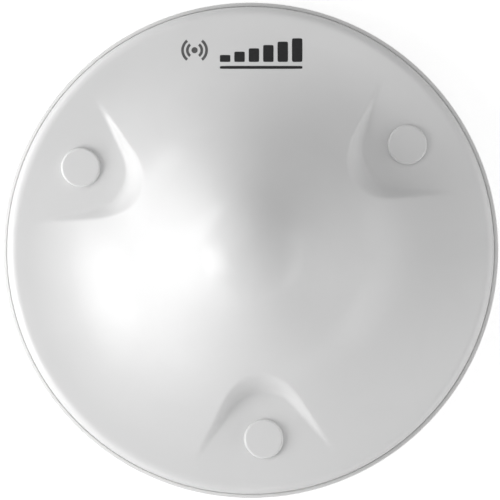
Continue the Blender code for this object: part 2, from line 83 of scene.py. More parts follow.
POCKET_RIDGE_BLEND = 2.4 * MM
POCKET_RIDGE_FADE = 4.0 * MM
WELL_R = 6.0 * MM
WELL_TUBE_R = 8.5 * MM
WELL_FLOOR_Z = 6.5 * MM
WELL_BOTTOM_Z = 4.3 * MM
SCREW_HOLE_R = 2.4 * MM
SCREW_HEAD_GAP = 0.3 * MM
SCREW_SHANK_R = 2.1 * MM
SCREW_PITCH = 1.7 * MM

# The base plate's form, as in the CAD source
CUP_R = 18.0 * MM
CUP_TOP = 8.2 * MM
NUT_RECESS_R = 15.0 * MM
NUT_RECESS_DEPTH = 5.2 * MM
CENTRE_HOLE_R = 8.4 * MM
RING_INNER_R = 86.8 * MM
RING_OUTER_R = 88.4 * MM
RING_TOP = 9.0 * MM
GROOVE_DEPTH = 0.5 * MM
RIB_T = 1.6 * MM
RIB_TOP = 6.5 * MM
POST_R = 3.6 * MM
POST_FOOT_R = 4.0 * MM
POST_CIRCLE_R = 50.0 * MM
PILOT_R = 1.55 * MM
PAD_TOP = 4.0 * MM
HEX_FLATS = 19.0 * MM

# Printed mark, along the camera's right and up
PRINT_T = 0.045 * MM
MARK_LEFT = -21.0 * MM
MARK_BASE = 70.6 * MM

# Camera and studio
CAMERA_ROLL = math.radians(-4.0)
CAMERA_DISTANCE = 6.0
CAMERA_LEFT = 0.22 * MM
CAMERA_UP = 0.14 * MM
RIM_IN_FRAME = 0.4954
FLOOR_GLOW = 0.56
FAR_FLOOR_GLOW = 0.74
AMBIENT = 0.37
BACKDROP = 1.0

# Lights: name, azimuth, elevation, distance, width, height, watts. The azimuth is in the camera's own turn.
# The powers began as the output of a fit, and were then rounded and changed.
LIGHTS = [
    ("key_left", 196.0, 31.0, 0.6, 0.38, 0.38, 1.95),
    ("low_lower_left", 225.0, 12.0, 0.6, 0.5, 0.25, 0.44),
    ("low_upper_left", 148.0, 7.0, 0.6, 0.5, 0.15, 0.82),
    ("low_right", -10.0, 14.0, 0.7, 0.9, 0.4, 1.22),
    ("low_lower_right", -45.0, 8.0, 0.7, 0.8, 0.3, 0.72),
    ("overhead", 180.0, 75.0, 0.5, 0.4, 0.4, 0.08),
    ("fill_upper_left", 120.0, 56.0, 0.8, 0.6, 0.4, 0.39),
    ("behind_left", 200.0, -35.0, 0.7, 0.5, 0.5, 2.0),
    ("behind_right", 20.0, -60.0, 0.8, 0.6, 0.6, 1.2),
]


# ---------------------------------------------------------------- mesh helpers


def new_object(name, mesh):
    """Link a mesh to the scene as a new object."""
    made = bpy.data.objects.new(name, mesh)
    bpy.context.scene.collection.objects.link(made)
    return made


def lattice(name, rows):
    """A closed solid from rows of points around the axis. A row of one point is a pole."""
    verts = np.concatenate(rows)
    starts = np.cumsum([0] + [len(row) for row in rows])
    faces = []
    for k in range(len(rows) - 1):
        a, b = starts[k], starts[k + 1]
        na, nb = len(rows[k]), len(rows[k + 1])
        for i in range(max(na, nb)):
            j = (i + 1) % max(na, nb)
            if na == 1:
                faces.append((a, b + i, b + j))
            elif nb == 1:
                faces.append((a + i, b, a + j))
            else:
                faces.append((a + i, b + i, b + j, a + j))
    if len(rows[0]) > 1 and len(rows[-1]) > 1:
        a, b = starts[-2], starts[0]
        count = len(rows[0])
        for i in range(count):
            j = (i + 1) % count
            faces.append((a + i, b + i, b + j, a + j))
    mesh = bpy.data.meshes.new(name)
    mesh.from_pydata(verts.tolist(), [], faces)
    mesh.update()
    return mesh


def ring(radius, z, count=TURN):
    """A level row. Radius and height are numbers, or functions of the angle."""
    angle = np.arange(count) * (2.0 * math.pi / count)
    r = radius(angle) if callable(radius) else np.full(count, radius)
    h = z(angle) if callable(z) else np.full(count, z)
    return np.stack([r * np.cos(angle), r * np.sin(angle), h], axis=1)


def pole(z):
    """A row of one point on the axis."""
    return np.array([[0.0, 0.0, z]])


def rounded(corners, steps=4):
    """A profile's corners as (r, z, radius), with each radius above zero drawn as an arc."""
    points = []
    for k, (r, z, radius) in enumerate(corners):
        here = Vector((r, z))
        if radius <= 0.0:
            points.append((r, z))
            continue
        before = Vector(corners[k - 1][:2]) - here
        after = Vector(corners[(k + 1) % len(corners)][:2]) - here
        half = before.angle(after) / 2.0
        reach = radius / math.tan(half)
        start = here + before.normalized() * reach
        end = here + after.normalized() * reach
        centre = here + (before.normalized() + after.normalized()).normalized() * (radius / math.sin(half))
        spoke = (start - centre).normalized()
        last = (end - centre).normalized()
        points += [tuple(centre + radius * spoke.slerp(last, i / steps)) for i in range(steps + 1)]
    return points


def turned(name, corners, count=TURN, steps=4):
    """A turned solid with rounded corners. The profile runs down the outer side."""
    rows = []
    for r, z in rounded(corners, steps):
        rows.append(pole(z) if r < 1e-7 else ring(r, z, count))
    return new_object(name, lattice(name, rows))


def rod(name, radius, top, bottom, count):
    """A plain cylinder on the axis, as a cutter."""
    side = [(radius, top, 0.0), (radius, bottom, 0.0)]
    return turned(name, [(0.0, top, 0.0), *side, (0.0, bottom, 0.0)], count)


def block(name, size, centre, angle=0.0):
    """A box turned about Z, as a cutter or an addition."""
    shape = bmesh.new()
    bmesh.ops.create_cube(shape, size=1.0)
    turn = Matrix.Rotation(angle, 4, "Z") @ Matrix.Translation(centre) @ Matrix.Diagonal((*size, 1.0))
    bmesh.ops.transform(shape, matrix=turn, verts=shape.verts)
    mesh = bpy.data.meshes.new(name)
    shape.to_mesh(mesh)
    shape.free()
    return new_object(name, mesh)


def at_angle(radius, angle, z=0.0):
    """A point at a radius and an angle around the axis."""
    return Vector((radius * math.cos(angle), radius * math.sin(angle), z))


def placed(obj, place, angle=0.0):
    """Move a piece's mesh to its place, so that the object stays at the origin."""
    obj.data.transform(Matrix.Translation(place) @ Matrix.Rotation(angle, 4, "Z"))
    return obj


def boolean(obj, others, operation):
    """Apply Booleans, and remove the other objects."""
    for other in others:
        modifier = obj.modifiers.new(operation, "BOOLEAN")
        modifier.operation = operation
        modifier.solver = "MANIFOLD"
        modifier.object = other
    depsgraph = bpy.context.evaluated_depsgraph_get()
    made = bpy.data.meshes.new_from_object(obj.evaluated_get(depsgraph))
    obj.modifiers.clear()
    obj.data = made
    for other in others:
        bpy.data.objects.remove(other, do_unlink=True)


def finished(obj, material, body, nodes=(), sharp=35.0):
    """Shade a piece, give it its material, and tie it to its CAD body and nodes."""
    obj.data.materials.clear()
    obj.data.materials.append(material)
    obj.data.shade_smooth()
    obj.data.set_sharp_from_angle(angle=math.radians(sharp))
    flats = obj.modifiers.new("flat_faces_stay_flat", "WEIGHTED_NORMAL")
    flats.keep_sharp = True
    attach(obj, body)
    if nodes:
        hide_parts(*nodes)
    return obj


# ---------------------------------------------------------------- the radome's form


def dome_height(r, inset=0.0):
    """Height of the turned surface: nose sphere, cone, flare, flat brim."""
    nose = NOSE_SPHERE - inset
    flare = FLARE_ARC + inset
    nose_end = nose * math.sin(CONE_ANGLE)
    cone_end = FLARE_R - flare * math.sin(CONE_ANGLE)
    nose_z = NOSE_CENTRE_Z + np.sqrt(np.maximum(nose**2 - r**2, 0.0))
    cone_z = NOSE_CENTRE_Z + nose * math.cos(CONE_ANGLE) - (r - nose_end) * math.tan(CONE_ANGLE)
    flare_z = BRIM_Z + FLARE_ARC - np.sqrt(np.maximum(flare**2 - (FLARE_R - r) ** 2, 0.0))
    level = np.full_like(r, BRIM_Z - inset)
    return np.select([r < nose_end, r < cone_end, r < FLARE_R], [nose_z, cone_z, flare_z], level)


def pocket_distance(x, y, angle):
    """Distance outside a pocket's arch: an arc beside the cap and two arms that open outwards."""
    out = x * math.cos(angle) + y * math.sin(angle) - POCKET_CIRCLE_R
    side = np.abs(y * math.cos(angle) - x * math.sin(angle))
    arc = np.hypot(out, side) - POCKET_R
    arm = side * math.cos(POCKET_HALF_ANGLE) - out * math.sin(POCKET_HALF_ANGLE) - POCKET_R
    return np.where(np.arctan2(side, -out) <= math.pi / 2.0 - POCKET_HALF_ANGLE, arc, arm)


def soft_ramp(d, blend):
    """Zero below, the distance above, and a parabola between."""
    bend = (d + blend) ** 2 / (4.0 * blend)
    return np.select([d < -blend, d < blend], [np.zeros_like(d), bend], d)


def radome_height(x, y, inset=0.0):
    """Height of the cover's surface with its three pockets blended in."""
    level = BRIM_Z - inset
    rise = dome_height(np.hypot(x, y), inset) - level
    for angle in CAP_ANGLES:
        wall = POCKET_WALL_SLOPE * soft_ramp(pocket_distance(x, y, angle) - inset, POCKET_FOOT_BLEND)
        both = np.sqrt(np.maximum(rise * wall, 0.0))
        blend = POCKET_RIDGE_BLEND * both / (both + POCKET_RIDGE_FADE) + 1e-9
        overlap = np.maximum(blend - np.abs(rise - wall), 0.0) / blend
        rise = np.minimum(rise, wall) - overlap**2 * blend / 4.0
    return level + rise


def surface_row(radius, inset, count):
    """A row of the cover's surface at one radius."""
    row = ring(radius, 0.0, count)
    row[:, 2] = radome_height(row[:, 0], row[:, 1], inset)
    return row


def make_radome():
    """The cover: one closed shell of fine rows, then its wells."""
    flat_end = RADOME_R - DRAFT - EDGE_R
    # Rows in millimetres, closer together across the pockets
    radii = [*np.arange(1.0, 40.0, 1.5), *np.arange(40.0, 86.0, 0.65), 86.6, 87.4]
    rows = [pole(NOSE_Z)]
    rows += [surface_row(r * MM, 0.0, FINE_TURN) for r in radii]
    for step in range(9):
        turn = math.radians(90.0 * step / 8.0)
        edge_z = BRIM_Z - EDGE_R * (1.0 - math.cos(turn))
        rows.append(ring(flat_end + EDGE_R * math.sin(turn), edge_z, FINE_TURN))
    bottom = radome_low.z
    lip = 0.35 * MM
    rows.append(ring(RADOME_R - 0.5 * DRAFT, (BRIM_Z - EDGE_R + bottom) / 2.0, FINE_TURN))
    rows.append(ring(RADOME_R, bottom + lip, FINE_TURN))
    rows.append(ring(RADOME_R - 0.3 * lip, bottom + 0.3 * lip, FINE_TURN))
    rows.append(ring(RADOME_R - lip, bottom, FINE_TURN))
    rows.append(ring(RADOME_R - WALL + lip, bottom, FINE_TURN))
    rows.append(ring(RADOME_R - WALL, bottom + lip, FINE_TURN))
    for step in range(5):
        turn = math.radians(90.0 - 90.0 * step / 4.0)
        inner = EDGE_R - WALL
        edge_z = BRIM_Z - EDGE_R + inner * math.cos(turn)
        rows.append(ring(flat_end + inner * math.sin(turn), edge_z, FINE_TURN))
    inner_radii = [*np.arange(86.0, 40.0, -1.4), *np.arange(39.0, 1.0, -3.0)]
    rows += [surface_row(r * MM, WALL, FINE_TURN) for r in inner_radii]
    rows.append(pole(NOSE_Z - WALL))
    shell = new_object("radome_shell", lattice("radome_shell", rows))
    tubes = []
    bores = []
    for number, angle in enumerate(CAP_ANGLES, start=1):
        place = at_angle(CAP_CIRCLE_R, angle)
        tube_top = BRIM_Z - 0.5 * WALL
        tube = [(0.0, tube_top, 0.0), (WELL_TUBE_R, tube_top, 0.0), (WELL_TUBE_R, WELL_BOTTOM_Z, 0.4 * MM)]
        tubes.append(placed(turned(f"tube_{number}", [*tube, (0.0, WELL_BOTTOM_Z, 0.0)], 64), place))
        bore = [
            (0.0, BRIM_Z + WALL, 0.0),
            (WELL_R, BRIM_Z + WALL, 0.0),
            (WELL_R, WELL_FLOOR_Z, 0.3 * MM),
            (SCREW_HOLE_R, WELL_FLOOR_Z, 0.2 * MM),
            (SCREW_HOLE_R, WELL_BOTTOM_Z - WALL, 0.0),
            (0.0, WELL_BOTTOM_Z - WALL, 0.0),
        ]
        bores.append(placed(turned(f"bore_{number}", bore, 64), place))
    boolean(shell, tubes, "UNION")
    boolean(shell, bores, "DIFFERENCE")
    return shell


# ---------------------------------------------------------------- threads and fasteners


def thread_row(root, crest, pitch, z, strength=1.0, count=48):
    """A row across a screw thread: the crest winds around the root as the row climbs."""
    angle = np.arange(count) * (2.0 * math.pi / count)
    along = (z / pitch - angle / (2.0 * math.pi)) % 1.0
    ridge = np.clip(1.15 - 2.5 * np.abs(along - 0.5), 0.0, 1.0)
    radius = root + (crest - root) * ridge * strength
    return np.stack([radius * np.cos(angle), radius * np.sin(angle), np.full(count, z)], axis=1)


def thread_rows(root, crest, pitch, high, low, count=48, steps=8):
    """Rows down a thread that runs out over one turn at its upper end."""
    rows = []
    for z in np.arange(high, low, -pitch / steps):
        runout = min(1.0, (high - z) / pitch)
        rows.append(thread_row(root, crest, pitch, z, runout, count))
    return rows


def pan_screw(name, place, head_r, head_h, shank_r, length, pitch):
    """A pan-head wood screw with a cross recess and a real thread. It points down from under its head."""
    count = 40
    root = 0.68 * shank_r
    point = 3.0 * shank_r
    crown = [(0.0, head_h, 0.0), (0.62 * head_r, 0.95 * head_h, 0.6 * MM), (head_r, 0.5 * head_h, 0.4 * MM)]
    foot = [(head_r, 0.0, 0.12 * MM), (root, 0.0, 0.0), (root, -length, 0.0)]
    rows = [pole(head_h)]
    rows += [ring(r, z, count) for r, z in rounded(crown + foot, 5)[1:-1]]
    rows += thread_rows(root, shank_r, pitch, -0.5 * pitch, point - length, count)
    for step in range(1, 12):
        share = 1.0 - step / 12.0
        z = point - length - point * step / 12.0
        rows.append(thread_row(root * share, shank_r * share, pitch, z, 1.0, count))
    rows.append(pole(-length))
    screw = new_object(name, lattice(name, rows))
    slots = []
    size = (1.15 * head_r, 0.22 * head_r, head_h)
    middle = (0.0, 0.0, 0.95 * head_h)
    for turn in range(2):
        slots.append(block(f"{name}_slot_{turn}", size, middle, math.radians(90.0 * turn + 20.0)))
    core = [(0.0, 1.5 * head_h, 0.0), (0.3 * head_r, 1.5 * head_h, 0.0), (0.24 * head_r, 0.4 * head_h, 0.0)]
    slots.append(turned(f"{name}_core", [*core, (0.0, 0.25 * head_h, 0.0)], 24))
    boolean(screw, slots, "DIFFERENCE")
    return placed(screw, place)


def make_mounting_screws(material):
    """The three screws that hold cover and base plate to the ceiling."""
    for number, angle in enumerate(CAP_ANGLES, start=1):
        low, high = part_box(f"mounting_screw_{number}")
        under_head = WELL_FLOOR_Z + SCREW_HEAD_GAP
        place = at_angle(CAP_CIRCLE_R, angle, under_head)
        head_r = (high.y - low.y) / 2.0
        name = f"mounting_screw_{number}_threaded"
        head_h = high.z - under_head
        screw = pan_screw(name, place, head_r, head_h, SCREW_SHANK_R, under_head - low.z, SCREW_PITCH)
        finished(screw, material, "cover", [f"mounting_screw_{number}"], 40.0)


def make_screw_caps(material):
    """The push-in caps: a softly rounded disc on a slotted stem with a snap bead."""
    for number, (low, high) in enumerate(CAP_BOXES, start=1):
        radius = (high.y - low.y) / 2.0
        thick = 1.8 * MM
        under = high.z - thick
        stem, bore = 5.7 * MM, 4.5 * MM
        corners = [
            (0.0, high.z, 0.0),
            (radius, high.z, 0.95 * MM),
            (radius, under, 0.2 * MM),
            (stem, under, 0.15 * MM),
            (stem, low.z + 1.3 * MM, 0.0),
            (stem + 0.2 * MM, low.z + 0.9 * MM, 0.0),
            (stem - 0.3 * MM, low.z, 0.0),
            (bore, low.z, 0.1 * MM),
            (bore, under, 0.2 * MM),
            (0.0, under, 0.0),
        ]
        cap = turned(f"screw_cap_{number}_moulded", corners, 96, 6)
        slots = []
        for turn in range(2):
            size = (4.0 * stem, 0.9 * MM, 4.6 * MM)
            middle = (0.0, 0.0, low.z)
            slots.append(block(f"cap_slot_{number}_{turn}", size, middle, math.radians(90.0 * turn)))
        boolean(cap, slots, "DIFFERENCE")
        placed(cap, at_angle(CAP_CIRCLE_R, CAP_ANGLES[number - 1]))
        finished(cap, material, f"cap_{number}", [f"screw_cap_{number}"], 32.0)


# ---------------------------------------------------------------- base plate and jack


def make_base_plate(material):
    """The tray against the ceiling: rounded lip, locating ring, ribs, posts, pads and recess."""
    groove_z = BASE_T - GROOVE_DEPTH
    corners = [
        (CENTRE_HOLE_R, CUP_TOP, 0.3 * MM),
        (CUP_R, CUP_TOP, 0.6 * MM),
        (CUP_R, BASE_T, 0.8 * MM),
        (RING_INNER_R, BASE_T, 0.5 * MM),
        (RING_INNER_R, RING_TOP, 0.3 * MM),
        (RING_OUTER_R, RING_TOP, 0.6 * MM),
        (RING_OUTER_R, BASE_T, 0.3 * MM),
        (RADOME_R - 0.4 * MM, BASE_T, 0.15 * MM),
        (RADOME_R - 0.3 * MM, groove_z, 0.1 * MM),
        (RADOME_R + 0.2 * MM, groove_z, 0.1 * MM),
        (RADOME_R + 0.3 * MM, BASE_T, 0.15 * MM),
        (BASE_R, BASE_T, 0.3 * MM),
        (BASE_R, 0.0, 0.4 * MM),
        (NUT_RECESS_R, 0.0, 0.3 * MM),
        (NUT_RECESS_R, NUT_RECESS_DEPTH, 0.3 * MM),
        (CENTRE_HOLE_R, NUT_RECESS_DEPTH, 0.2 * MM),
    ]
    rows = [ring(r, z, 240) for r, z in rounded(corners, 5)]
    tray = new_object("base_tray", lattice("base_tray", rows))
    low = BASE_T - 0.4 * MM
    pilot_top, hole_top = 12.0 * MM, 9.0 * MM
    additions = []
    cuts = []
    for rib in range(6):
        size = (RING_INNER_R - CUP_R + 1.2 * MM, RIB_T, RIB_TOP - low)
        middle = ((RING_INNER_R + CUP_R) / 2.0, 0.0, (RIB_TOP + low) / 2.0)
        additions.append(block(f"rib_{rib}", size, middle, math.radians(60.0 * rib)))
    for number in range(3):
        post_place = at_angle(POST_CIRCLE_R, math.radians(90.0 + 120.0 * number))
        post = [(0.0, CUP_TOP, 0.0), (POST_R, CUP_TOP, 0.4 * MM), (POST_FOOT_R, low, 0.0), (0.0, low, 0.0)]
        additions.append(placed(turned(f"post_{number}", post, 40), post_place))
        cuts.append(placed(rod(f"pilot_{number}", PILOT_R, pilot_top, BASE_T, 24), post_place))
        place = at_angle(CAP_CIRCLE_R, CAP_ANGLES[number])
        pad = [(0.0, PAD_TOP, 0.0), (WELL_TUBE_R, PAD_TOP, 0.2 * MM), (WELL_TUBE_R, low, 0.0)]
        additions.append(placed(turned(f"pad_{number}", [*pad, (0.0, low, 0.0)], 48), place))
        cuts.append(placed(rod(f"hole_{number}", SCREW_HOLE_R, hole_top, -BASE_T, 32), place))
    boolean(tray, additions, "UNION")
    boolean(tray, cuts, "DIFFERENCE")
    finished(tray, material, "base", ["base_plate"], 32.0)


def make_jack(nickel):
    """The threaded shell of the jack with its hexagon flange, and the chamfered nut in the recess."""
    bore, root = 4.05 * MM, 7.3 * MM
    thread_r = 7.94 * MM
    end = jack_low.z
    flange_top = jack_high.z
    flange_low = flange_top - 2.4 * MM
    pitch = 1.058 * MM
    rows = [ring(bore, flange_top - 0.1 * MM, 64), ring(bore + 0.3 * MM, flange_top, 64)]
    rows += [ring(r, z, 64) for r, z in ((root, flange_top), (root, flange_low))]
    rows += thread_rows(root, thread_r, pitch, flange_low - 0.1 * MM, end + 0.9 * MM, 64)
    rows += [ring(root, end + 0.7 * MM, 64), ring(root - 0.5 * MM, end, 64)]
    rows += [ring(bore + 0.5 * MM, end, 64), ring(bore, end + 0.5 * MM, 64)]
    body = new_object("connector_body_threaded", lattice("connector_body_threaded", rows))
    flange = hex_prism("jack_flange", HEX_FLATS, flange_low, flange_top, bore + 0.4 * MM)
    boolean(body, [flange], "UNION")
    finished(body, nickel, "base", ["connector_body"], 32.0)
    low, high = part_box("connector_hex_nut")
    nut = hex_prism("connector_hex_nut_chamfered", HEX_FLATS, low.z, high.z, thread_r + 0.3 * MM)
    finished(nut, nickel, "base", ["connector_hex_nut"], 30.0)


def hex_prism(name, flats, low, high, bore):
    """A hexagon with turned chamfers at both ends and a round bore."""
    count = 96
    corner = flats / math.sqrt(3.0)
    chamfer = 0.35 * MM

    def outline(limit):
        def radius(angle):
            across = (angle % (math.pi / 3.0)) - math.pi / 6.0
            return np.minimum(0.5 * flats / np.cos(across), limit)

        return radius

    def bevel(upward, face):
        def height(angle):
            across = (angle % (math.pi / 3.0)) - math.pi / 6.0
            over = np.maximum(0.5 * flats / np.cos(across) - 0.49 * flats, 0.0)
            return face - upward * 0.58 * over

        return height

    rows = [
        ring(bore, high - chamfer, count),
        ring(bore + chamfer, high, count),
        ring(0.48 * flats, high, count),
        ring(outline(corner), bevel(1.0, high), count),
        ring(outline(corner), bevel(-1.0, low), count),
        ring(0.48 * flats, low, count),
        ring(bore + chamfer, low, count),
        ring(bore, low + chamfer, count),
    ]
    return new_object(name, lattice(name, rows))


# ---------------------------------------------------------------- printed mark


def print_patch(points):
    """A thin film on the cover over a grid of places, given along the mark's right and up."""
    right = Vector((math.cos(CAMERA_ROLL), math.sin(CAMERA_ROLL)))
    up = Vector((-right.y, right.x))
    x = points[..., 0] * right.x + points[..., 1] * up.x
    y = points[..., 0] * right.y + points[..., 1] * up.y
    z = radome_height(x, y)
    wide, high = x.shape
    top = np.stack([x, y, z + PRINT_T], axis=-1).reshape(-1, 3)
    bottom = np.stack([x, y, z - PRINT_T], axis=-1).reshape(-1, 3)
    faces = []
    for i in range(wide - 1):
        for j in range(high - 1):
            a, b, c, d = i * high + j, (i + 1) * high + j, (i + 1) * high + j + 1, i * high + j + 1
            faces.append((a, b, c, d))
            faces.append(tuple(v + wide * high for v in (d, c, b, a)))
    rim = [i * high for i in range(wide)]
    rim += [(wide - 1) * high + j for j in range(1, high)]
    rim += [i * high + high - 1 for i in range(wide - 2, -1, -1)]
    rim += list(range(high - 2, 0, -1))
    for a, b in zip(rim, rim[1:] + rim[:1]):
        faces.append((b, a, a + wide * high, b + wide * high))
    return np.concatenate([top, bottom]), faces


def print_bar(left, bottom, width, height):
    """An upright bar with slightly rounded corners."""
    across = np.linspace(-1.0, 1.0, 9)
    along = np.linspace(-1.0, 1.0, 13)
    u, v = np.meshgrid(across, along, indexing="ij")
    corner = 0.05
    squeeze = 1.0 - corner * v**8 * np.abs(u) ** 8
    x = left + width / 2.0 + u * squeeze * width / 2.0
    y = bottom + height / 2.0 + v * squeeze * height / 2.0
    return print_patch(np.stack([x, y], axis=-1))


def print_arc(centre, inner, outer, start, end):
    """A stretch of a ring, from one angle to another in degrees."""
    turn = np.radians(np.linspace(start, end, 33))
    reach = np.linspace(inner, outer, 5)
    angle, radius = np.meshgrid(turn, reach, indexing="ij")
    x = centre[0] + radius * np.cos(angle)
    y = centre[1] + radius * np.sin(angle)
    return print_patch(np.stack([x, y], axis=-1)[:, ::-1])


def make_mark(grey_ink, black_ink):
    """The generic printed mark near the rim: radio arcs around a dot, and rising signal bars."""
    dot = (MARK_LEFT, MARK_BASE + 4.4 * MM)
    grey = [print_arc(dot, 0.02 * MM, 1.15 * MM, 0.0, 359.0)]
    for inner in (2.2 * MM, 4.0 * MM):
        grey.append(print_arc(dot, inner, inner + 1.0 * MM, -52.0, 52.0))
        grey.append(print_arc(dot, inner, inner + 1.0 * MM, 128.0, 232.0))
    black = []
    for bar in range(6):
        left = MARK_LEFT + 9.5 * MM + bar * 5.4 * MM
        black.append(print_bar(left, MARK_BASE, 3.9 * MM, (2.6 + 1.25 * bar) * MM))
    black.append(print_bar(MARK_LEFT + 9.5 * MM, MARK_BASE - 2.6 * MM, 30.9 * MM, 1.1 * MM))
    for name, patches, material in (("mark_arcs", grey, grey_ink), ("mark_bars", black, black_ink)):
        verts = []
        faces = []
        for points, loops in patches:
            offset = len(verts)
            verts += points.tolist()
            faces += [tuple(v + offset for v in loop) for loop in loops]
        mesh = bpy.data.meshes.new(name)
        mesh.from_pydata(verts, [], faces)
        finished(new_object(name, mesh), material, "cover")


# ---------------------------------------------------------------- materials


class Look:
    """A Principled material that gets its detail from procedural nodes, in metres of object space."""

    def __init__(self, name, colour, roughness, metallic=0.0):
        self.material = bpy.data.materials.new(name)
        self.material.use_nodes = True
        self.tree = self.material.node_tree
        self.shader = self.tree.nodes["Principled BSDF"]
        self.shader.inputs["Base Color"].default_value = (*colour, 1.0)
        self.shader.inputs["Roughness"].default_value = roughness
        self.shader.inputs["Metallic"].default_value = metallic
        self.place = self.tree.nodes.new("ShaderNodeTexCoord").outputs["Object"]
        self.normal = None

    def link(self, output, target):
        """Join two sockets."""
        self.tree.links.new(output, target)

    def stretched(self, scale):
        """Object space stretched along its axes."""
        mapping = self.tree.nodes.new("ShaderNodeMapping")
        mapping.inputs["Scale"].default_value = scale
        self.link(self.place, mapping.inputs["Vector"])
        return mapping.outputs["Vector"]

    def turned_place(self):
        """Radius and height around the object's Z axis, so that a pattern runs in rings."""
        split = self.tree.nodes.new("ShaderNodeSeparateXYZ")
        self.link(self.place, split.inputs["Vector"])
        flat = self.tree.nodes.new("ShaderNodeCombineXYZ")
        self.link(split.outputs["X"], flat.inputs["X"])
        self.link(split.outputs["Y"], flat.inputs["Y"])
        length = self.tree.nodes.new("ShaderNodeVectorMath")
        length.operation = "LENGTH"
        self.link(flat.outputs["Vector"], length.inputs[0])
        both = self.tree.nodes.new("ShaderNodeCombineXYZ")
        self.link(length.outputs["Value"], both.inputs["X"])
        self.link(split.outputs["Z"], both.inputs["Y"])
        return both.outputs["Vector"]

    def noise(self, scale, detail=3.0, vector=None, distortion=0.0):
        """A noise pattern. Its scale is in features to a metre."""
        made = self.tree.nodes.new("ShaderNodeTexNoise")
        made.inputs["Scale"].default_value = scale
        made.inputs["Detail"].default_value = detail
        made.inputs["Distortion"].default_value = distortion
        self.link(vector or self.place, made.inputs["Vector"])
        return made.outputs["Fac"]

    def cells(self, scale):
        """A pattern of soft grains."""
        made = self.tree.nodes.new("ShaderNodeTexVoronoi")
        made.feature = "SMOOTH_F1"
        made.inputs["Scale"].default_value = scale
        self.link(self.place, made.inputs["Vector"])
        return made.outputs["Distance"]

    def mapped(self, fac, low, high, start=0.3, end=0.7):
        """A pattern brought between two values."""
        made = self.tree.nodes.new("ShaderNodeMapRange")
        made.inputs["From Min"].default_value = start
        made.inputs["From Max"].default_value = end
        made.inputs["To Min"].default_value = low
        made.inputs["To Max"].default_value = high
        self.link(fac, made.inputs["Value"])
        return made.outputs["Result"]

    def tint(self, fac, first, second, start=0.35, end=0.65):
        """Base colour from one tone to another."""
        ramp = self.tree.nodes.new("ShaderNodeValToRGB")
        ramp.color_ramp.elements[0].position = start
        ramp.color_ramp.elements[0].color = (*first, 1.0)
        ramp.color_ramp.elements[1].position = end
        ramp.color_ramp.elements[1].color = (*second, 1.0)
        self.link(fac, ramp.inputs["Fac"])
        self.link(ramp.outputs["Color"], self.shader.inputs["Base Color"])

    def rough(self, fac, low, high, start=0.3, end=0.7):
        """Roughness that varies with a pattern."""
        self.link(self.mapped(fac, low, high, start, end), self.shader.inputs["Roughness"])

    def bump(self, fac, depth, strength=1.0):
        """Fine relief of a real depth in metres. Each call adds to the last."""
        made = self.tree.nodes.new("ShaderNodeBump")
        made.inputs["Strength"].default_value = strength
        made.inputs["Distance"].default_value = depth
        self.link(fac, made.inputs["Height"])
        if self.normal:
            self.link(self.normal, made.inputs["Normal"])
        self.normal = made.outputs["Normal"]
        self.link(self.normal, self.shader.inputs["Normal"])


def moulded_plastic(name, colour, roughness, grain_scale, grain_depth):
    """White moulded plastic: faint flow marks in tone and gloss, and a fine grain."""
    look = Look(name, colour, roughness)
    flow = look.noise(28.0, 4.0, distortion=0.6)
    warm = tuple(c * 0.975 for c in colour)
    look.tint(flow, warm, colour)
    look.rough(look.noise(210.0, 5.0), roughness * 0.88, roughness * 1.14)
    look.bump(look.noise(120.0, 2.0), 4e-6)
    look.bump(look.cells(grain_scale), grain_depth)
    return look.material


def turned_metal(name, colour, second, roughness, ring_scale, depth):
    """Plated metal off a lathe: fine rings, cloudy plating and a varying gloss."""
    look = Look(name, colour, roughness, 1.0)
    rings = look.noise(ring_scale, 2.0, look.turned_place())
    look.tint(look.noise(160.0, 4.0, distortion=0.8), second, colour)
    look.rough(look.noise(420.0, 4.0), roughness * 0.7, roughness * 1.5)
    look.bump(rings, depth)
    return look.material


def rolled_sheet(name, colour, second, roughness, lines, depth):
    """Sheet metal: rolling lines along X, a cloudy tone and fine scratches."""
    look = Look(name, colour, roughness, 1.0)
    grain = look.noise(1.0, 4.0, look.stretched((40.0, lines, lines)))
    look.tint(look.noise(70.0, 5.0, distortion=1.0), second, colour)
    look.rough(grain, roughness * 0.75, roughness * 1.4)
    look.bump(grain, depth)
    look.bump(look.noise(2600.0, 2.0), depth * 0.4)
    return look.material


def waxy_insulator(name):
    """PTFE: milky white with light going into it, and soft machining marks."""
    look = Look(name, (0.86, 0.86, 0.84), 0.42)
    look.shader.inputs["Subsurface Weight"].default_value = 0.35
    look.shader.inputs["Subsurface Radius"].default_value = (0.002, 0.002, 0.0018)
    look.shader.inputs["Subsurface Scale"].default_value = 1.0
    look.tint(look.noise(260.0, 3.0), (0.82, 0.82, 0.80), (0.88, 0.88, 0.865))
    look.rough(look.noise(500.0, 3.0), 0.36, 0.5)
    look.bump(look.noise(1800.0, 2.0, look.turned_place()), 6e-6)
    return look.material


def printed_ink(name, colour, roughness):
    """Pad-printed ink: slightly uneven cover and a fine matt tooth."""
    look = Look(name, colour, roughness)
    lighter = tuple(min(1.0, c * 1.35 + 0.004) for c in colour)
    look.tint(look.noise(900.0, 4.0), colour, lighter)
    look.rough(look.noise(1500.0, 3.0), roughness * 0.85, roughness * 1.2)
    look.bump(look.cells(5200.0), 3e-6)
    return look.material


def dress_cad_nodes(looks):
    """Give each CAD node that stays its material."""
    for node_name, look in looks.items():
        node_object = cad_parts[node_name]
        for slot in node_object.material_slots:
            slot.material = look


# ---------------------------------------------------------------- studio


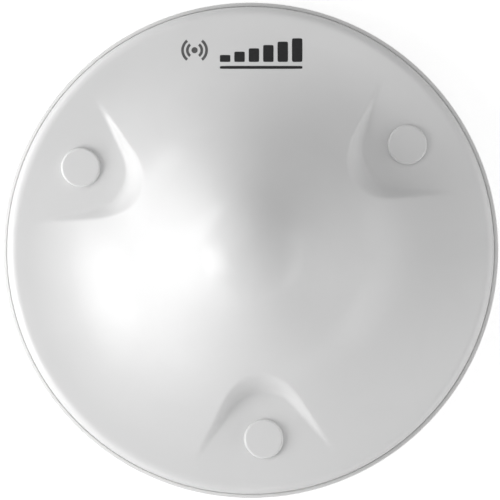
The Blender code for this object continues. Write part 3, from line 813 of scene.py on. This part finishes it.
def make_floor():
    """A pale sheet level with the base plate's back, open where the plate covers it."""
    hole_r, edge = BASE_R - 0.8 * MM, 8.0
    angle = np.arange(TURN) * (2.0 * math.pi / TURN)
    reach = [hole_r, BASE_R * 1.5, 1.0, edge]
    verts = []
    faces = []
    for k, r in enumerate(reach):
        verts += [(r * math.cos(a), r * math.sin(a), 0.0) for a in angle]
        if k:
            for i in range(TURN):
                j = (i + 1) % TURN
                a, b = (k - 1) * TURN, k * TURN
                faces.append((a + i, b + i, b + j, a + j))
    mesh = bpy.data.meshes.new("studio_floor")
    mesh.from_pydata(verts, [], faces)
    floor = new_object("studio_floor", mesh)
    look = Look("studio_paper", (0.8, 0.8, 0.8), 0.85)
    look.tint(look.noise(9.0, 4.0), (0.79, 0.79, 0.79), (0.81, 0.81, 0.81))
    look.bump(look.noise(1400.0, 3.0), 1e-5)
    nodes = look.tree.nodes
    rays = nodes.new("ShaderNodeLightPath")
    glow = nodes.new("ShaderNodeEmission")
    away = nodes.new("ShaderNodeVectorMath")
    away.operation = "LENGTH"
    look.link(look.place, away.inputs[0])
    near, far = 0.15, 0.9
    strength = look.mapped(away.outputs["Value"], FLOOR_GLOW, FAR_FLOOR_GLOW, near, far)
    look.link(strength, glow.inputs["Strength"])
    add = nodes.new("ShaderNodeAddShader")
    mix = nodes.new("ShaderNodeMixShader")
    surface = nodes["Material Output"].inputs["Surface"]
    look.link(look.shader.outputs["BSDF"], add.inputs[0])
    look.link(glow.outputs["Emission"], add.inputs[1])
    look.link(rays.outputs["Is Camera Ray"], mix.inputs[0])
    look.link(look.shader.outputs["BSDF"], mix.inputs[1])
    look.link(add.outputs["Shader"], mix.inputs[2])
    look.link(mix.outputs["Shader"], surface)
    floor.data.materials.append(look.material)


def softbox(name, azimuth, elevation, distance, width, height, watts):
    """A rectangular soft light that faces the object. Its azimuth is in the camera's own turn."""
    data = bpy.data.lights.new(name, "AREA")
    data.shape = "RECTANGLE"
    data.size = width
    data.size_y = height
    data.energy = watts
    lamp = bpy.data.objects.new(name, data)
    bpy.context.scene.collection.objects.link(lamp)
    around = math.radians(azimuth) + CAMERA_ROLL
    rise = math.radians(elevation)
    away = Vector((math.cos(around) * math.cos(rise), math.sin(around) * math.cos(rise), math.sin(rise)))
    lamp.location = away * distance
    lamp.rotation_euler = (-away).to_track_quat("-Z", "Y").to_euler()
    lamp.visible_camera = False


def make_world():
    """An even pale surround, brighter where the camera sees it past the floor."""
    world = bpy.data.worlds.new("studio_world")
    bpy.context.scene.world = world
    world.use_nodes = True
    tree = world.node_tree
    background = tree.nodes["Background"]
    background.inputs["Color"].default_value = (1.0, 1.0, 1.0, 1.0)
    rays = tree.nodes.new("ShaderNodeLightPath")
    level = tree.nodes.new("ShaderNodeMapRange")
    level.inputs["To Min"].default_value = AMBIENT
    level.inputs["To Max"].default_value = BACKDROP
    tree.links.new(rays.outputs["Is Camera Ray"], level.inputs["Value"])
    tree.links.new(level.outputs["Result"], background.inputs["Strength"])


def make_camera():
    """Straight in front of the cover, so far away that its rim shows no perspective."""
    data = bpy.data.cameras.new("camera")
    data.sensor_width = 36.0
    data.lens = data.sensor_width * RIM_IN_FRAME * (CAMERA_DISTANCE - BASE_T) / BASE_R
    made = bpy.data.objects.new("camera", data)
    bpy.context.scene.collection.objects.link(made)
    made.rotation_euler = (0.0, 0.0, CAMERA_ROLL)
    right = Vector((math.cos(CAMERA_ROLL), math.sin(CAMERA_ROLL), 0.0))
    up = Vector((-right.y, right.x, 0.0))
    made.location = CAMERA_LEFT * -right + CAMERA_UP * up + Vector((0.0, 0.0, CAMERA_DISTANCE))
    bpy.context.scene.camera = made


# ---------------------------------------------------------------- the scene

make_camera()

cover_white = moulded_plastic("cover_plastic", (0.80, 0.80, 0.80), 0.32, 3200.0, 2e-6)
cap_white = moulded_plastic("cap_plastic", (0.80, 0.80, 0.80), 0.34, 2600.0, 3e-6)
base_white = moulded_plastic("base_plastic", (0.86, 0.86, 0.855), 0.45, 2100.0, 8e-6)
grey_ink = printed_ink("grey_ink", (0.09, 0.09, 0.09), 0.5)
black_ink = printed_ink("black_ink", (0.006, 0.006, 0.007), 0.45)
zinc = turned_metal("zinc_plate", (0.66, 0.67, 0.68), (0.60, 0.61, 0.60), 0.3, 5200.0, 6e-6)
nickel = turned_metal("nickel_plate", (0.66, 0.62, 0.56), (0.58, 0.54, 0.48), 0.22, 6000.0, 5e-6)
gold = turned_metal("gold_plate", (0.95, 0.70, 0.32), (0.88, 0.62, 0.27), 0.2, 7000.0, 4e-6)
brass = turned_metal("ferrule_brass", (0.78, 0.60, 0.30), (0.68, 0.50, 0.24), 0.26, 6500.0, 5e-6)
spring_bronze = rolled_sheet("washer_bronze", (0.72, 0.60, 0.45), (0.62, 0.50, 0.36), 0.3, 3000.0, 6e-6)
aluminium = rolled_sheet("ground_plane_aluminium", (0.82, 0.83, 0.84), (0.74, 0.75, 0.76), 0.3, 1700.0, 8e-6)
tinned = rolled_sheet("radiator_tinned_brass", (0.74, 0.70, 0.58), (0.62, 0.57, 0.44), 0.28, 2200.0, 8e-6)
rivet_metal = turned_metal("rivet_aluminium", (0.80, 0.80, 0.80), (0.70, 0.70, 0.71), 0.3, 4200.0, 8e-6)
ptfe = waxy_insulator("ptfe")

finished(make_radome(), cover_white, "cover", ["radome"], 40.0)
make_mark(grey_ink, black_ink)
make_screw_caps(cap_white)
make_mounting_screws(zinc)
make_base_plate(base_white)
make_jack(nickel)

stays = {"ground_plane": aluminium, "radiator_cone": tinned, "radiator_top_plate": tinned}
stays |= {"connector_lock_washer": spring_bronze, "connector_insulator": ptfe}
stays |= {"connector_contact": gold, "feed_ferrule": brass}
for number in (1, 2, 3):
    stays[f"shorting_leg_{number}"] = tinned
    stays[f"leg_screw_{number}"] = zinc
    stays[f"ground_plane_screw_{number}"] = zinc
    stays[f"top_rivet_{number}"] = rivet_metal
dress_cad_nodes(stays)

make_floor()
make_world()
for light in LIGHTS:
    softbox(*light)

bpy.context.scene.view_settings.view_transform = "Standard"
